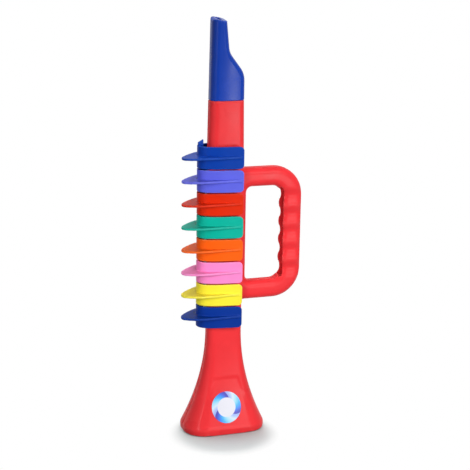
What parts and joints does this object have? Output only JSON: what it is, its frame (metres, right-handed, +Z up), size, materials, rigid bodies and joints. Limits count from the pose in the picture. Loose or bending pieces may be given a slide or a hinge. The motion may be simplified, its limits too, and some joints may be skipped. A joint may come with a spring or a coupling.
{
  "type": "toy trumpet",
  "caption": "Red plastic toy trumpet with a row of coloured push keys down its front, a D-shaped grip handle behind, a blue beak mouthpiece and a flared bell that it stands on.",
  "frame": {"origin": "on the tube's upright axis, in the plane of the bell's rim, which is the face the toy stands on", "axes": "+Z up along the tube towards the mouthpiece, +X from the keys towards the handle, the label faces -Y"},
  "size_m": [0.1126, 0.0478, 0.382],
  "materials": {
    "red_body": "satin injection-moulded plastic, light sheen",
    "inner_plastic": "plain moulded plastic",
    "label_paper": "thin round sticker with a pale middle and a shifting blue-green ring",
    "soft_pad": "soft matt rubber",
    "spring_steel": "thin rolled steel strip",
    "reed_brass": "rolled brass",
    "blue_plastic": "satin injection-moulded plastic, light sheen",
    "violet_plastic": "satin injection-moulded plastic, light sheen",
    "red_plastic": "satin injection-moulded plastic, light sheen",
    "green_plastic": "satin injection-moulded plastic, light sheen",
    "orange_plastic": "satin injection-moulded plastic, light sheen",
    "pink_plastic": "satin injection-moulded plastic, light sheen",
    "yellow_plastic": "satin injection-moulded plastic, light sheen",
    "navy_plastic": "satin injection-moulded plastic, light sheen"
  },
  "bodies": {
    "trumpet": {"left_shell": "red_body", "right_shell": "red_body", "mouthpiece": "blue_plastic", "reed_block": "inner_plastic", "round_label": "label_paper", "reed_1": "reed_brass", "reed_2": "reed_brass", "reed_3": "reed_brass", "reed_4": "reed_brass", "reed_5": "reed_brass", "reed_6": "reed_brass", "reed_7": "reed_brass", "reed_8": "reed_brass", "key_spring_1": "spring_steel", "key_spring_2": "spring_steel", "key_spring_3": "spring_steel", "key_spring_4": "spring_steel", "key_spring_5": "spring_steel", "key_spring_6": "spring_steel", "key_spring_7": "spring_steel", "key_spring_8": "spring_steel"},
    "key_1": {"key_1_blue": "blue_plastic", "valve_pad_1": "soft_pad"},
    "key_2": {"key_2_violet": "violet_plastic", "valve_pad_2": "soft_pad"},
    "key_3": {"key_3_red": "red_plastic", "valve_pad_3": "soft_pad"},
    "key_4": {"key_4_green": "green_plastic", "valve_pad_4": "soft_pad"},
    "key_5": {"key_5_orange": "orange_plastic", "valve_pad_5": "soft_pad"},
    "key_6": {"key_6_pink": "pink_plastic", "valve_pad_6": "soft_pad"},
    "key_7": {"key_7_yellow": "yellow_plastic", "valve_pad_7": "soft_pad"},
    "key_8": {"key_8_navy": "navy_plastic", "valve_pad_8": "soft_pad"}
  },
  "joints": [
    {"name": "key_1_press", "type": "slide", "parent": "trumpet", "child": "key_1", "axis": [1, 0, 0], "range_m": [0, 0.0038], "stiffness_N_per_m": 150, "springref_m": -0.003, "deforming": ["key_spring_1"]},
    {"name": "key_2_press", "type": "slide", "parent": "trumpet", "child": "key_2", "axis": [1, 0, 0], "range_m": [0, 0.0038], "stiffness_N_per_m": 150, "springref_m": -0.003, "deforming": ["key_spring_2"]},
    {"name": "key_3_press", "type": "slide", "parent": "trumpet", "child": "key_3", "axis": [1, 0, 0], "range_m": [0, 0.0038], "stiffness_N_per_m": 150, "springref_m": -0.003, "deforming": ["key_spring_3"]},
    {"name": "key_4_press", "type": "slide", "parent": "trumpet", "child": "key_4", "axis": [1, 0, 0], "range_m": [0, 0.0038], "stiffness_N_per_m": 150, "springref_m": -0.003, "deforming": ["key_spring_4"]},
    {"name": "key_5_press", "type": "slide", "parent": "trumpet", "child": "key_5", "axis": [1, 0, 0], "range_m": [0, 0.0038], "stiffness_N_per_m": 150, "springref_m": -0.003, "deforming": ["key_spring_5"]},
    {"name": "key_6_press", "type": "slide", "parent": "trumpet", "child": "key_6", "axis": [1, 0, 0], "range_m": [0, 0.0038], "stiffness_N_per_m": 150, "springref_m": -0.003, "deforming": ["key_spring_6"]},
    {"name": "key_7_press", "type": "slide", "parent": "trumpet", "child": "key_7", "axis": [1, 0, 0], "range_m": [0, 0.0038], "stiffness_N_per_m": 150, "springref_m": -0.003, "deforming": ["key_spring_7"]},
    {"name": "key_8_press", "type": "slide", "parent": "trumpet", "child": "key_8", "axis": [1, 0, 0], "range_m": [0, 0.0038], "stiffness_N_per_m": 150, "springref_m": -0.003, "deforming": ["key_spring_8"]}
  ]
}
